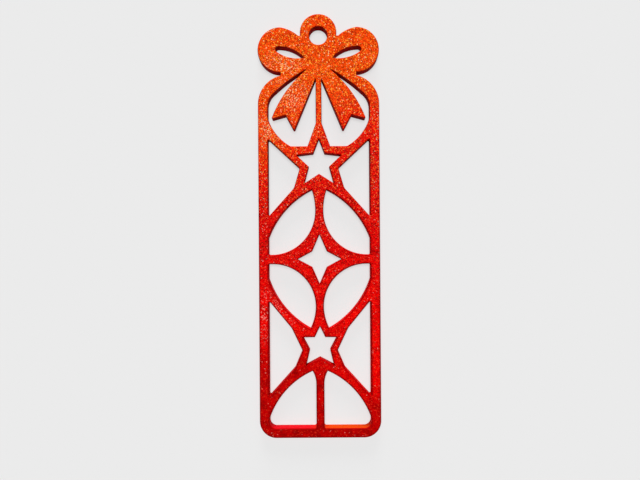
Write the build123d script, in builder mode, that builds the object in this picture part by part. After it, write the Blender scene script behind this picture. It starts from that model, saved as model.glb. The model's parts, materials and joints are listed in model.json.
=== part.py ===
"""A flat openwork bookmark: a bow with a hanging eye above a trellis of three stars.

The plate lies on its back in the XY plane, long way along Y, with its face up.
Every sketch is drawn on the back plane, from the middle of the bottom edge, so a point is
(distance from the centre line, height above the bottom edge). Right-hand shapes are drawn
and the left-hand ones are their mirror images.
"""

import os
from math import hypot

from build123d import *

# Driving dimensions, in millimetres: the plate
plate_width = 43.1
plate_thickness = 3.2
rail_width = 3.5
corner_radius = 6.0
shoulder_radius = 10.5

# The stack of heights up the plate, each counted from the one before it
bottom_bar_width = 3.5
bottom_stem_length = 20.2
lower_lens_length = 23.05
crossbar_width = 3.25
upper_lens_length = 23.1
bow_window_height = 25.4
notch_gap = 0.75
eye_rise = 6.15

# The bow and its hanging eye
eye_diameter = 13.0
ribbon_hole_diameter = 6.4
ribbon_hole_drop = 1.2
loop_diameter = 16.1
knot_width = 8.6
slit_rise = 1.75
tail_root_drop = 1.65
tail_side_gap = 1.15
tail_foot_gap = 5.4
tail_sagitta = 1.45
tail_tip_radius = 0.4
shoulder_sagitta = 0.45
shoulder_bend_inset = 2.75

# The stars, and the least width of the bands round them
upper_star_radius = 8.55
upper_star_wall = 2.9
lower_star_radius = 7.63
lower_star_wall = 2.4
middle_star_rise = 8.75
middle_star_reach = 7.8
middle_star_wall = 3.0

# The stems, the bands that run from the stars to the rails, and the windows between them
upper_stem_width = 2.1
middle_stem_width = 2.9
bottom_stem_width = 2.9
upper_fork_width = 5.2
lower_fork_width = 6.6
bottom_fork_width = 5.4
bottom_fork_flare = 4.6
upper_brace_width = 3.6
upper_brace_rise = 8.55
upper_brace_root = 7.4
upper_brace_sagitta = 1.25
upper_arch_width = 2.95
upper_arch_sagitta = 2.2
lower_brace_width = 2.8
lower_brace_sagitta = 2.2
lower_arch_width = 2.86
lower_arch_sagitta = 2.4
upper_lens_side = 5.9
lower_lens_side = 5.2
bottom_window_side = 3.3
upper_scoop_land = 0.85
lower_scoop_land = 1.45
lens_corner_radius = 0.45
side_tip_radius = 0.3
side_waist_radius = 1.0
side_bend_radius = 3.0
bottom_corner_radius = 2.4
bottom_stem_radius = 0.7
edge_overrun = 2.0

# Right half of each five-point star in shares of its radius from its centre, in the order
# top point, brow, arm, waist, foot, crotch
upper_star_shares = [(0, 1), (0.234, 0.398), (0.924, 0.316), (0.421, -0.152), (0.608, -0.842), (0, -0.45)]
lower_star_shares = [(0, 1), (0.242, 0.505), (0.793, 0.498), (0.472, -0.105), (0.642, -0.812), (0, -0.472)]
# Where the four-point star's sides meet, in shares of its reach and rise
middle_star_waist_shares = (0.333, 0.32)
# Places round a star in shares of its wall: forks below the feet and above the arms, the band's brow,
# the spike where it joins its stem, and the corners of the side windows
fork_below_share = 0.8
fork_above_share = 1.25
brow_share = 0.875
brow_corner_share = 0.7
spike_share = 1.9
upper_waist_shares = (1.13, -0.2)
upper_foot_share = 1.29
lower_arm_share = 1.66
lower_waist_shares = (1.1, -0.04)
lower_foot_share = 1.67
# The frame's shoulder inside the bow window, in shares of the height from brace to panel top
shoulder_side_share = 0.25
shoulder_bend_share = 0.6
# The loop's outline from its centre in shares of its radius: where it leaves the eye, and its crown
valley_shares = (-0.795, 0.626)
crown_shares = (-0.41, 0.875)
# The loop's slot, in shares of the way from the knot to the plate's side and of the loop's radius
slot_tip_shares = (0.048, -0.355)
slot_top_shares = (0.272, -0.005)
slot_shoulder_shares = (0.561, 0.135)
slot_end_shares = (0.627, 0.03)
slot_heel_shares = (0.594, -0.095)
slot_foot_shares = (0.337, -0.335)
# The tail's free end, in shares of its reach from the centre line and its length below the slit
tail_corner_shares = (1, 0.809)
tail_notch_shares = (0.692, 0.743)
tail_point_shares = (0.515, 1)
# How far a cut between two members runs on into the windows, in shares of the cut
cut_run_share = 0.3


def toward(start, end, share):
    """The point at a share of the way from start to end."""
    return (start[0] + share * (end[0] - start[0]), start[1] + share * (end[1] - start[1]))


def around(centre, shares, width, height):
    """The point at the given shares of a width and a height from a centre."""
    return (centre[0] + shares[0] * width, centre[1] + shares[1] * height)


def band_edge(start, end, offset, x):
    """The point at x on the straight edge that lies the offset away from the chord of an arched edge."""
    slope = (end[1] - start[1]) / (end[0] - start[0])
    return (x, start[1] + slope * (x - start[0]) + offset * hypot(1, slope))


def mirrored(points):
    """The same points on the left of the centre line, in the opposite order."""
    return [(-x, y) for x, y in reversed(points)]


# Widths from the centre line
half_width = plate_width / 2
window_half = half_width - rail_width
edge_x = half_width + edge_overrun
upper_stem_half = upper_stem_width / 2
middle_stem_half = middle_stem_width / 2
bottom_stem_half = bottom_stem_width / 2
upper_scoop_radius = window_half - upper_scoop_land - middle_stem_half
lower_scoop_radius = window_half - lower_scoop_land - middle_stem_half

# Heights above the bottom edge, and the points that the windows and the members share
bottom_fork = (bottom_fork_width / 2, bottom_bar_width + bottom_stem_length)
lower_foot_drop = -min(y for x, y in lower_star_shares) * lower_star_radius
lower_centre = (0, bottom_fork[1] + fork_below_share * lower_star_wall + lower_foot_drop)
lower_star = [around(lower_centre, s, lower_star_radius, lower_star_radius) for s in lower_star_shares]
lower_top, _, lower_arm, lower_waist, lower_foot, _ = lower_star
lower_fork = (lower_fork_width / 2, lower_arm[1] + fork_above_share * lower_star_wall)
crossbar_low = lower_fork[1] + lower_lens_length
crossbar_high = crossbar_low + crossbar_width
middle_centre = (0, (crossbar_low + crossbar_high) / 2)
upper_fork = (upper_fork_width / 2, crossbar_high + upper_lens_length)
upper_foot_drop = -min(y for x, y in upper_star_shares) * upper_star_radius
upper_centre = (0, upper_fork[1] + fork_below_share * upper_star_wall + upper_foot_drop)
upper_star = [around(upper_centre, s, upper_star_radius, upper_star_radius) for s in upper_star_shares]
upper_top, upper_brow, _, upper_waist, upper_foot, _ = upper_star
brow_height = upper_brow[1] + brow_share * upper_star_wall
panel_height = brow_height + bow_window_height
spring_height = panel_height - shoulder_radius
loop_radius = loop_diameter / 2
loop_centre = (half_width - loop_radius, panel_height + notch_gap + loop_radius)
eye_radius = eye_diameter / 2
eye_centre = (0, loop_centre[1] + eye_rise)
hole_centre = (0, eye_centre[1] - ribbon_hole_drop)
plate_length = eye_centre[1] + eye_radius
back_plane = Plane(origin=(0, -plate_length / 2, 0))

# Corners of the upper side window and of the brace and arch beside it
upper_lens_high = (window_half, crossbar_high + upper_lens_side)
upper_arch_offset = upper_arch_sagitta + upper_arch_width
upper_brace_low = (window_half, upper_centre[1] + upper_brace_rise)
upper_brace_high = (window_half, upper_brace_low[1] + upper_brace_root)
upper_ring_waist = around(upper_waist, upper_waist_shares, upper_star_wall, upper_star_wall)
upper_ring_foot = band_edge(
    upper_fork, upper_lens_high, upper_arch_offset, upper_foot[0] + upper_foot_share * upper_star_wall
)
upper_arch_high = band_edge(upper_fork, upper_lens_high, upper_arch_offset, window_half)
# The brace leaves the star's brow where it is its own width away from the window's upper side
brace_run = (upper_brace_low[0] - upper_ring_waist[0], upper_brace_low[1] - upper_ring_waist[1])
brace_side = upper_brace_width / hypot(*brace_run)
brace_edge = (upper_ring_waist[0] - brace_side * brace_run[1], upper_ring_waist[1] + brace_side * brace_run[0])
brace_brow = (brace_edge[0] + (brow_height - brace_edge[1]) * brace_run[0] / brace_run[1], brow_height)
brace_heel = (brace_brow[0] + brace_side * brace_run[1], brace_brow[1] - brace_side * brace_run[0])

# Corners of the lower side window and of the brace and arch beside it
lower_lens_low = (window_half, crossbar_low - lower_lens_side)
lower_brace_offset = -(lower_brace_sagitta + lower_brace_width)
bottom_window_high = (window_half, bottom_bar_width + bottom_window_side)
lower_arch_offset = lower_arch_sagitta + lower_arch_width
lower_ring_arm = band_edge(
    lower_fork, lower_lens_low, lower_brace_offset, lower_arm[0] + lower_arm_share * lower_star_wall
)
lower_brace_low = band_edge(lower_fork, lower_lens_low, lower_brace_offset, window_half)
lower_ring_waist = around(lower_waist, lower_waist_shares, lower_star_wall, lower_star_wall)
lower_ring_foot = band_edge(
    bottom_fork, bottom_window_high, lower_arch_offset, lower_foot[0] + lower_foot_share * lower_star_wall
)
lower_arch_high = band_edge(bottom_fork, bottom_window_high, lower_arch_offset, window_half)

# Corners of the bow window, which holds a tail
slit_tip = (knot_width / 2, panel_height + slit_rise)
tail_root = (upper_stem_half, panel_height - tail_root_drop)
spike = (upper_stem_half, upper_top[1] + spike_share * upper_star_wall)
brow_corner = (upper_brow[0] + brow_corner_share * upper_star_wall, brow_height)
shoulder_height = panel_height - upper_brace_high[1]
shoulder_side = (window_half, upper_brace_high[1] + shoulder_side_share * shoulder_height)
shoulder_bend = (
    window_half - shoulder_bend_inset,
    upper_brace_high[1] + shoulder_bend_share * shoulder_height,
)
tail_reach = window_half - tail_side_gap
tail_length = slit_tip[1] - brow_height - tail_foot_gap
slit_foot = (0, slit_tip[1])
tail_corner = around(slit_foot, tail_corner_shares, tail_reach, -tail_length)
tail_notch = around(slit_foot, tail_notch_shares, tail_reach, -tail_length)
tail_point = around(slit_foot, tail_point_shares, tail_reach, -tail_length)

# The outline of the frame: square, with round bottom corners and rounder shoulders
with BuildSketch() as panel:
    with BuildLine():
        FilletPolyline(
            (-half_width, 0),
            (half_width, 0),
            (half_width, panel_height),
            (-half_width, panel_height),
            radius=[corner_radius, corner_radius, shoulder_radius, shoulder_radius],
            close=True,
        )
    make_face()

# The outline of the bow: knot and loops, down to where it runs into the frame
with BuildSketch() as bow:
    valley = around(loop_centre, valley_shares, loop_radius, loop_radius)
    with BuildLine():
        ThreePointArc(
            valley,
            around(loop_centre, crown_shares, loop_radius, loop_radius),
            (loop_centre[0], loop_centre[1] + loop_radius),
        )
        TangentArc(
            (loop_centre[0], loop_centre[1] + loop_radius),
            (half_width, loop_centre[1]),
            tangent=(1, 0),
        )
        TangentArc(
            (half_width, loop_centre[1]),
            (loop_centre[0], loop_centre[1] - loop_radius),
            tangent=(0, -1),
        )
        Polyline(
            (loop_centre[0], loop_centre[1] - loop_radius),
            (loop_centre[0], spring_height),
            (0, spring_height),
            (0, valley[1]),
            valley,
        )
    make_face()
    mirror(about=Plane.YZ)

# The leaf-shaped slot in each loop
with BuildSketch() as loop_slots:
    loop_root = (knot_width / 2, loop_centre[1])
    loop_span = half_width - loop_root[0]
    slot_tip = around(loop_root, slot_tip_shares, loop_span, loop_radius)
    slot_shoulder = around(loop_root, slot_shoulder_shares, loop_span, loop_radius)
    slot_heel = around(loop_root, slot_heel_shares, loop_span, loop_radius)
    with BuildLine():
        ThreePointArc(slot_tip, around(loop_root, slot_top_shares, loop_span, loop_radius), slot_shoulder)
        ThreePointArc(slot_shoulder, around(loop_root, slot_end_shares, loop_span, loop_radius), slot_heel)
        ThreePointArc(slot_heel, around(loop_root, slot_foot_shares, loop_span, loop_radius), slot_tip)
    make_face()
    mirror(about=Plane.YZ)

# The bow window, between knot, shoulder, brace, star and stem
with BuildSketch() as bow_windows:
    with BuildLine():
        SagittaArc(slit_tip, shoulder_bend, shoulder_sagitta)
        TangentArc(shoulder_side, shoulder_bend, tangent=(0, 1))
        Line(shoulder_side, upper_brace_high)
        SagittaArc(upper_brace_high, brace_brow, upper_brace_sagitta)
        Polyline(brace_brow, brow_corner, spike, tail_root, slit_tip)
    make_face()
    mirror(about=Plane.YZ)

# The side windows, between a rail and a five-point star
with BuildSketch() as side_windows:
    with BuildLine():
        FilletPolyline(
            upper_brace_low,
            upper_ring_waist,
            upper_ring_foot,
            upper_arch_high,
            radius=[side_tip_radius, side_waist_radius, side_bend_radius, side_tip_radius],
            close=True,
        )
    make_face()
    with BuildLine():
        FilletPolyline(
            lower_brace_low,
            lower_ring_arm,
            lower_ring_waist,
            lower_ring_foot,
            lower_arch_high,
            radius=[side_tip_radius, side_bend_radius, side_waist_radius, side_bend_radius, side_tip_radius],
            close=True,
        )
    make_face()
    mirror(about=Plane.YZ)

# The lens windows above and below the crossbar: a quarter-round scoop runs from stem to crossbar
with BuildSketch() as lens_windows:
    upper_scoop_foot = (middle_stem_half + upper_scoop_radius, crossbar_high)
    upper_scoop_top = (middle_stem_half, crossbar_high + upper_scoop_radius)
    with BuildLine():
        SagittaArc(upper_fork, upper_lens_high, upper_arch_sagitta)
        FilletPolyline(
            upper_lens_high, (window_half, crossbar_high), upper_scoop_foot, radius=lens_corner_radius
        )
        TangentArc(upper_scoop_foot, upper_scoop_top, tangent=(-1, 0))
        TangentArc(upper_scoop_top, upper_fork, tangent=(0, 1))
    make_face()
    lower_scoop_head = (middle_stem_half + lower_scoop_radius, crossbar_low)
    lower_scoop_end = (middle_stem_half, crossbar_low - lower_scoop_radius)
    with BuildLine():
        SagittaArc(lower_fork, lower_lens_low, -lower_brace_sagitta)
        FilletPolyline(
            lower_lens_low, (window_half, crossbar_low), lower_scoop_head, radius=lens_corner_radius
        )
        TangentArc(lower_scoop_head, lower_scoop_end, tangent=(-1, 0))
        TangentArc(lower_scoop_end, lower_fork, tangent=(0, -1))
    make_face()
    mirror(about=Plane.YZ)

# The bottom window, between the lower star, a rail, the bottom bar and the bottom stem
with BuildSketch() as bottom_windows:
    flare_start = (bottom_stem_half, bottom_fork[1] - bottom_fork_flare)
    with BuildLine():
        TangentArc(flare_start, bottom_fork, tangent=(0, 1))
        SagittaArc(bottom_fork, bottom_window_high, lower_arch_sagitta)
        FilletPolyline(
            bottom_window_high,
            (window_half, bottom_bar_width),
            (bottom_stem_half, bottom_bar_width),
            flare_start,
            radius=[bottom_corner_radius, bottom_stem_radius],
        )
    make_face()
    mirror(about=Plane.YZ)

# The three star holes
with BuildSketch() as star_holes:
    for star in (upper_star, lower_star):
        with BuildLine():
            Polyline(*star, *mirrored(star[1:-1]), close=True)
        make_face()
    middle_waist = around(middle_centre, middle_star_waist_shares, middle_star_reach, middle_star_rise)
    middle_under = around(middle_centre, middle_star_waist_shares, middle_star_reach, -middle_star_rise)
    middle_star = [
        (0, middle_centre[1] + middle_star_rise),
        middle_waist,
        (middle_star_reach, middle_centre[1]),
        middle_under,
        (0, middle_centre[1] - middle_star_rise),
    ]
    with BuildLine():
        Polyline(*middle_star, *mirrored(middle_star[1:-1]), close=True)
    make_face()

# The whole outline with every opening in it; the tails hang free in the bow windows
with BuildSketch() as plate:
    add(panel.sketch)
    add(bow.sketch)
    with Locations(eye_centre):
        Circle(eye_radius)
    with Locations(hole_centre):
        Circle(ribbon_hole_diameter / 2, mode=Mode.SUBTRACT)
    for openings in (loop_slots, bow_windows, side_windows, lens_windows, bottom_windows, star_holes):
        add(openings.sketch, mode=Mode.SUBTRACT)


def write_piece(name, piece):
    """Label a finished piece and write it under its own name."""
    piece.part.label = name
    export_step(piece.part, f"parts/{name}.step")


def cut_member(name, zone, clear_of_eye=False):
    """Make one member: the part of the plate's outline that lies in its zone, at full thickness.

    Neighbouring zones share their edges, so the members meet face to face. The corner points
    on those edges are kept, so that both members have them.
    """
    with BuildPart() as member:
        with BuildSketch(back_plane):
            add(plate.sketch)
            with BuildLine(mode=Mode.PRIVATE) as border:
                Polyline(*zone, close=True)
            make_face(border.edges(), mode=Mode.INTERSECT)
            if clear_of_eye:
                with Locations(eye_centre):
                    Circle(eye_radius, mode=Mode.SUBTRACT)
        extrude(amount=plate_thickness, clean=False)
    write_piece(name, member)


def cut_pair(name, zone, clear_of_eye=False):
    """Make a right-hand member and its mirror image."""
    cut_member(f"right_{name}", zone, clear_of_eye)
    cut_member(f"left_{name}", mirrored(zone), clear_of_eye)


os.makedirs("parts", exist_ok=True)

# Hanging eye: a whole ring, so that the ribbon's hole is in one piece
with BuildPart() as hanging_eye:
    with BuildSketch(back_plane):
        with Locations(eye_centre):
            Circle(eye_radius)
        with Locations(hole_centre):
            Circle(ribbon_hole_diameter / 2, mode=Mode.SUBTRACT)
    extrude(amount=plate_thickness)
write_piece("hanging_eye", hanging_eye)

# Bow: the knot between the slits, and a loop on each side down to the notch above the shoulder
notch = (loop_centre[0], panel_height + notch_gap / 2)
knot_zone = [(slit_tip[0], tail_root[1]), (slit_tip[0], eye_centre[1])]
loop_zone = [
    slit_tip,
    notch,
    (edge_x, notch[1]),
    (edge_x, plate_length),
    (slit_tip[0], plate_length),
]
cut_member("bow_knot", knot_zone + mirrored(knot_zone), clear_of_eye=True)
cut_pair("bow_loop", loop_zone, clear_of_eye=True)

# Bow tails: free tongues with a fishtail end, rooted on the knot
for side, about in (("right", None), ("left", Plane.YZ)):
    with BuildPart() as bow_tail:
        with BuildSketch(back_plane) as tail_face:
            with BuildLine():
                SagittaArc(slit_tip, tail_corner, tail_sagitta)
                Polyline(tail_corner, tail_notch, tail_point, tail_root, slit_tip)
            make_face()
            tips = tail_face.vertices().sort_by(Axis.Y)[:1] + tail_face.vertices().sort_by(Axis.X)[-1:]
            fillet(tips, tail_tip_radius)
            if about is not None:
                mirror(about=about, mode=Mode.REPLACE)
        extrude(amount=plate_thickness)
    write_piece(f"{side}_bow_tail", bow_tail)

# Frame: shoulders, rails and the bottom bar with its round corners
bow_window_x = (upper_stem_half + window_half) / 2
shoulder_zone = [
    slit_tip,
    notch,
    (edge_x, notch[1]),
    (edge_x, spring_height),
    (window_half, spring_height),
    upper_brace_high,
    (bow_window_x, upper_brace_high[1]),
]
rail_foot = bottom_bar_width + bottom_corner_radius
rail_zone = [
    (window_half, rail_foot),
    (edge_x, rail_foot),
    (edge_x, spring_height),
    (window_half, spring_height),
]
bottom_bar_zone = [
    (edge_x, -edge_overrun),
    (edge_x, rail_foot),
    (window_half - bottom_window_side, rail_foot),
    (window_half - bottom_window_side, bottom_bar_width),
]
cut_pair("shoulder", shoulder_zone)
cut_pair("rail", rail_zone)
cut_member("bottom_bar", bottom_bar_zone + mirrored(bottom_bar_zone))

# Upper star: its stem from the knot, the band round it, braces going up and arches going down
upper_stem_zone = [(slit_tip[0], spike[1]), (slit_tip[0], tail_root[1])]
brace_cut_in = toward(brace_brow, brace_heel, -cut_run_share)
brace_cut_out = toward(brace_brow, brace_heel, 1 + cut_run_share)
upper_arch_cut = toward(upper_fork, upper_ring_foot, 1 + cut_run_share)
upper_lens_middle = (window_half, (upper_lens_high[1] + crossbar_high) / 2)
upper_ring_zone = [(slit_tip[0], spike[1]), brace_cut_in, brace_cut_out, upper_arch_cut, upper_fork]
upper_brace_zone = [brace_cut_in, brace_cut_out, (window_half, brace_cut_out[1]), upper_brace_high]
upper_arch_zone = [upper_fork, upper_arch_cut, (window_half, upper_arch_cut[1]), upper_lens_middle]
cut_member("upper_stem", upper_stem_zone + mirrored(upper_stem_zone))
cut_member("upper_star_ring", upper_ring_zone + mirrored(upper_ring_zone))
cut_pair("upper_brace", upper_brace_zone)
cut_pair("upper_arch", upper_arch_zone)

# Four-point star: the middle of the cross, with a stem above and below and a crossbar to each rail
ring_high = middle_centre[1] + middle_star_rise + middle_star_wall
ring_low = middle_centre[1] - middle_star_rise - middle_star_wall
ring_side = middle_star_reach + middle_star_wall
lower_lens_middle = (window_half, (lower_lens_low[1] + crossbar_low) / 2)
lower_ring_high = ((lower_fork[0] + lower_arm[0]) / 2, lower_top[1] + lower_star_wall)
upper_half_stem_zone = [upper_fork, (middle_star_reach, ring_high)]
middle_ring_zone = [(ring_side, ring_high), (ring_side, ring_low)]
lower_half_stem_zone = [(middle_star_reach, ring_low), lower_ring_high]
crossbar_zone = [
    (ring_side, lower_lens_middle[1]),
    lower_lens_middle,
    upper_lens_middle,
    (ring_side, upper_lens_middle[1]),
]
cut_member("middle_upper_stem", upper_half_stem_zone + mirrored(upper_half_stem_zone))
cut_member("four_point_star_ring", middle_ring_zone + mirrored(middle_ring_zone))
cut_member("middle_lower_stem", lower_half_stem_zone + mirrored(lower_half_stem_zone))
cut_pair("crossbar", crossbar_zone)

# Lower star: the band round it, braces going up, arches going down, and the stem to the bottom bar
brace_share = (lower_ring_arm[1] - lower_arm[1]) / (lower_ring_arm[1] - lower_ring_waist[1])
lower_brace_heel = toward(lower_ring_arm, lower_ring_waist, brace_share)
lower_brace_cut = toward(lower_fork, lower_brace_heel, 1 + cut_run_share)
lower_arch_cut = toward(bottom_fork, lower_ring_foot, 1 + cut_run_share)
lower_ring_zone = [lower_ring_high, lower_fork, lower_brace_cut, lower_arch_cut, bottom_fork]
lower_brace_zone = [lower_fork, lower_brace_cut, (window_half, lower_brace_cut[1]), lower_lens_middle]
lower_arch_zone = [
    bottom_fork,
    lower_arch_cut,
    (window_half, lower_arch_cut[1]),
    (window_half, rail_foot),
]
bottom_stem_zone = [bottom_fork, (bottom_fork[0], bottom_bar_width)]
cut_member("lower_star_ring", lower_ring_zone + mirrored(lower_ring_zone))
cut_pair("lower_brace", lower_brace_zone)
cut_pair("lower_arch", lower_arch_zone)
cut_member("bottom_stem", bottom_stem_zone + mirrored(bottom_stem_zone))

print(f"plate {plate_width:.2f} x {plate_length:.2f} x {plate_thickness:.2f} mm")
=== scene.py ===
# %% [markdown]
# # A printed bookmark: a bow, three stars and a lattice
# The real object is one flat 3-D print, 150 mm long and about 3 mm thick, in a glittery filament that
# fades from orange at the bow to deep red at the foot. Its CAD model is a frame of 28 members that meet
# face to face. The frame gives every place and size. This lesson adds what a drawing leaves plain: the
# softly rounded rim, the layers in the walls, the grain that the print bed left on the face, and the
# glitter, whose glints are painted into the colour, as are the light and shade on walls and rim. Lengths
# are written in millimetres, and times MM they are the metres that Blender works in.

# %% Load the CAD frame
import bpy
import json
import math
import numpy as np
from collections import Counter
from mathutils.geometry import delaunay_2d_cdt
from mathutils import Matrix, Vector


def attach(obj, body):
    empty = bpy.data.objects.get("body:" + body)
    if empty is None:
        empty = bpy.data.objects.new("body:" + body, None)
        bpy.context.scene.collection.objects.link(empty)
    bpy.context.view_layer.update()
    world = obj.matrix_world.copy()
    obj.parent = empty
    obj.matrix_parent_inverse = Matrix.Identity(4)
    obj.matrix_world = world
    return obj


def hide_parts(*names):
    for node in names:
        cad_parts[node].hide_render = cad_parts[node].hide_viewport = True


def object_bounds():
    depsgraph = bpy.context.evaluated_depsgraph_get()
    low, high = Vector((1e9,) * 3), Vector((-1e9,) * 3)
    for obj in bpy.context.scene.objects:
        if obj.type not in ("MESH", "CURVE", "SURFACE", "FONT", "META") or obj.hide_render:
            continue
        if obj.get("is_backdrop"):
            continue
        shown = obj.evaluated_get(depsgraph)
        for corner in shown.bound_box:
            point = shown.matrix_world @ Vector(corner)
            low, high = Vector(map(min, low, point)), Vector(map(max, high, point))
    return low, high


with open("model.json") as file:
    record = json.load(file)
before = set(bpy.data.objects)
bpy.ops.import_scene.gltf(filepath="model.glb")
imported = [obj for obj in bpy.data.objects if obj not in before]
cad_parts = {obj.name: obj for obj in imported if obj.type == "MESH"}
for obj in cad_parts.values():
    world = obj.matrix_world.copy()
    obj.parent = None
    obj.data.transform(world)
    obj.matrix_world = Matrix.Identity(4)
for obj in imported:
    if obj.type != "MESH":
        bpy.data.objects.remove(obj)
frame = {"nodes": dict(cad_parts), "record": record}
cad_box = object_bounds()
MM = 0.001
thickness = cad_box[1].z / MM
members = sorted(frame["nodes"])
plate_size = [round((cad_box[1][i] - cad_box[0][i]) / MM, 2) for i in range(3)]
print("frame:", len(members), "members,", plate_size, "mm")

# %% [markdown]
# ## Camera and light first
# The bookmark lies flat and is seen from straight above, at about the distance of a phone held over a
# table, so the camera looks down with a wide lens. Walls that face the middle of the picture then show as
# thin bands, wider the further out they are. A longer lens from higher up would hide those bands. A camera
# that is made before anything else lets every later step be judged in the right view.

# %% Camera
PICTURE_WIDTH = 640
FOCAL_PIXELS = 443
SENSOR_WIDTH = 36
CAMERA_PLACE = (0.2, -5.0, 160)
CAMERA_ROLL = -0.375
NEAREST = 10
camera = bpy.data.cameras.new("overhead_camera")
camera.sensor_width = SENSOR_WIDTH
camera.lens = SENSOR_WIDTH * FOCAL_PIXELS / PICTURE_WIDTH
camera.clip_start = NEAREST * MM
overhead = bpy.data.objects.new("overhead_camera", camera)
overhead.location = [length * MM for length in CAMERA_PLACE]
overhead.rotation_euler = (0, 0, math.radians(CAMERA_ROLL))
bpy.context.scene.collection.objects.link(overhead)
bpy.context.scene.camera = overhead
bpy.context.scene.view_settings.view_transform = "Standard"
print("camera:", round(camera.lens, 2), "mm lens,", round(overhead.location.z / MM), "mm above the table")

# %% [markdown]
# ## Colours and nodes
# Colours are written as sRGB hex values, the way a paint program shows them, and one function turns them
# into the linear values that shader sockets take. Every node tree below is built with one small function. It
# adds a node, sets its properties and feeds its inputs with plain values, with outputs, or with nodes,
# whose first output in use is then taken. Nodes could also be clicked together in the editor, but a script
# can be read, run again and changed in one place. A Mix node of colours has its share at input 0 and its
# two colours at inputs 6 and 7.

# %% Colour and node helpers
def linear(hex_colour):
    """An sRGB hex colour as the linear RGBA that a socket takes."""
    channels = [int(hex_colour[i:i + 2], 16) / 255 for i in (1, 3, 5)]
    straight = [c / 12.92 if c <= 0.04045 else ((c + 0.055) / 1.055) ** 2.4 for c in channels]
    return (*straight, 1.0)


def add_node(tree, kind, feeds=None, **settings):
    """Add a node to a tree, set its properties, and feed its inputs with values, outputs or nodes."""
    node = tree.nodes.new(kind)
    for name, value in settings.items():
        setattr(node, name, value)
    for socket, source in (feeds or {}).items():
        if isinstance(source, bpy.types.Node):
            source = next(output for output in source.outputs if output.enabled)
        if isinstance(source, bpy.types.NodeSocket):
            tree.links.new(source, node.inputs[socket])
        else:
            node.inputs[socket].default_value = source
    return node


def new_finish(name):
    """A new material that is made of nodes: the material, its tree, and its shader."""
    material = bpy.data.materials.new(name)
    material.use_nodes = True
    return material, material.node_tree, material.node_tree.nodes["Principled BSDF"]


print("a mid grey, #808080, is", round(linear("#808080")[0], 4), "in linear light")

# %% [markdown]
# ## A pale table under soft light
# The bookmark lies on a plain pale table, almost without shadow, so most of the light comes from a wide
# ceiling panel that leans towards the bow. A weaker window beyond the bow makes walls that face it bright
# and leaves the others dark. The levels add up to 1: together they light a white card to white and no
# further, so colours come out as written. More light would thin the shadow, but it would bleach the
# bookmark too. So the table's own material thins it, and shows the camera some of its bare tone.

# %% Table
# Matt laminate has no gloss: it gives the eye one even, pale tone. It lies a hair's breadth below the plate.
TABLE_COLOUR = "#ebebeb"
TABLE_REACH = 2.5
TABLE_DROP = 0.02
MATT = 0.9
SHADOW_THINNED = 0.65
quarters = ((-1, -1), (1, -1), (1, 1), (-1, 1))
table_corners = [(x * TABLE_REACH, y * TABLE_REACH, -TABLE_DROP * MM) for x, y in quarters]
table_mesh = bpy.data.meshes.new("table_top")
table_mesh.from_pydata(table_corners, [], [(0, 1, 2, 3)])
table = bpy.data.objects.new("table_top", table_mesh)
bpy.context.scene.collection.objects.link(table)
table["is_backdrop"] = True
laminate, tree, shader = new_finish("matt_white_laminate")
shader.inputs["Base Color"].default_value = linear(TABLE_COLOUR)
shader.inputs["Roughness"].default_value = MATT
shader.inputs["Specular IOR Level"].default_value = 0.0
looked_at = add_node(tree, "ShaderNodeLightPath").outputs["Is Camera Ray"]
thinned = add_node(tree, "ShaderNodeMath", {0: looked_at, 1: SHADOW_THINNED}, operation="MULTIPLY")
glow = add_node(tree, "ShaderNodeEmission", {"Color": linear(TABLE_COLOUR)})
card = add_node(tree, "ShaderNodeMixShader", {0: thinned, 1: shader, 2: glow})
tree.links.new(card.outputs[0], tree.nodes["Material Output"].inputs["Surface"])
table_mesh.materials.append(laminate)
print("table:", 2 * TABLE_REACH, "m across")

# %% The room
ROOM_SHARE = 0.13
world = bpy.data.worlds.new("soft_room")
world.use_nodes = True
bpy.context.scene.world = world
room = world.node_tree
room.nodes.clear()
ray = add_node(room, "ShaderNodeLightPath").outputs
glossy = add_node(room, "ShaderNodeMath", {0: ray["Is Camera Ray"], 1: ray["Is Glossy Ray"]},
                  operation="MAXIMUM")
shown = add_node(room, "ShaderNodeMath", {0: glossy, 1: ray["Is Transmission Ray"]}, operation="MAXIMUM")
room_light = add_node(room, "ShaderNodeBackground", {"Color": linear("#ffffff"), "Strength": ROOM_SHARE})
backdrop = add_node(room, "ShaderNodeBackground", {"Color": linear(TABLE_COLOUR), "Strength": 1.0})
seen = add_node(room, "ShaderNodeMixShader", {0: shown, 1: room_light, 2: backdrop})
add_node(room, "ShaderNodeOutputWorld", {"Surface": seen})
print("room: gives", ROOM_SHARE, "of the light on the table")

# %% Lamps
# For each lamp: its share of the light, its height over the table and its width, both in degrees. A sun
# lamp with a wide angle is a panel far away: it is as soft, and lights the whole table evenly.
LAMPS = {"ceiling_panel": (0.74, 79, 34), "bow_window": (0.13, 15, 22)}
for name, (share, height, width) in LAMPS.items():
    panel = bpy.data.lights.new(name, "SUN")
    panel.angle = math.radians(width)
    tilt = math.radians(height)
    panel.energy = share * math.pi / math.sin(tilt)
    lamp = bpy.data.objects.new(name, panel)
    lamp.location = (0, math.cos(tilt), math.sin(tilt))
    lamp.rotation_euler = (tilt - math.pi / 2, 0, 0)
    bpy.context.scene.collection.objects.link(lamp)
    print("lamp:", name, "strength", round(panel.energy, 2), "gives", share, "of the light on the table")

# %% [markdown]
# ## Reading the outline out of the frame
# Each member is a flat shape of one thickness, so its face holds all there is to know. The face's triangles
# are walked once: a side that no second triangle of the member shares is part of its outline. Corners that
# two members have in common get one number, so that both sides of a meeting line can later be given the
# very same points. The outlines could also be drawn afresh, but they would then drift from the CAD model
# when it changes.

# %% Corners that members share
WELD = 0.02
corners = []
corner_at = {}


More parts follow.
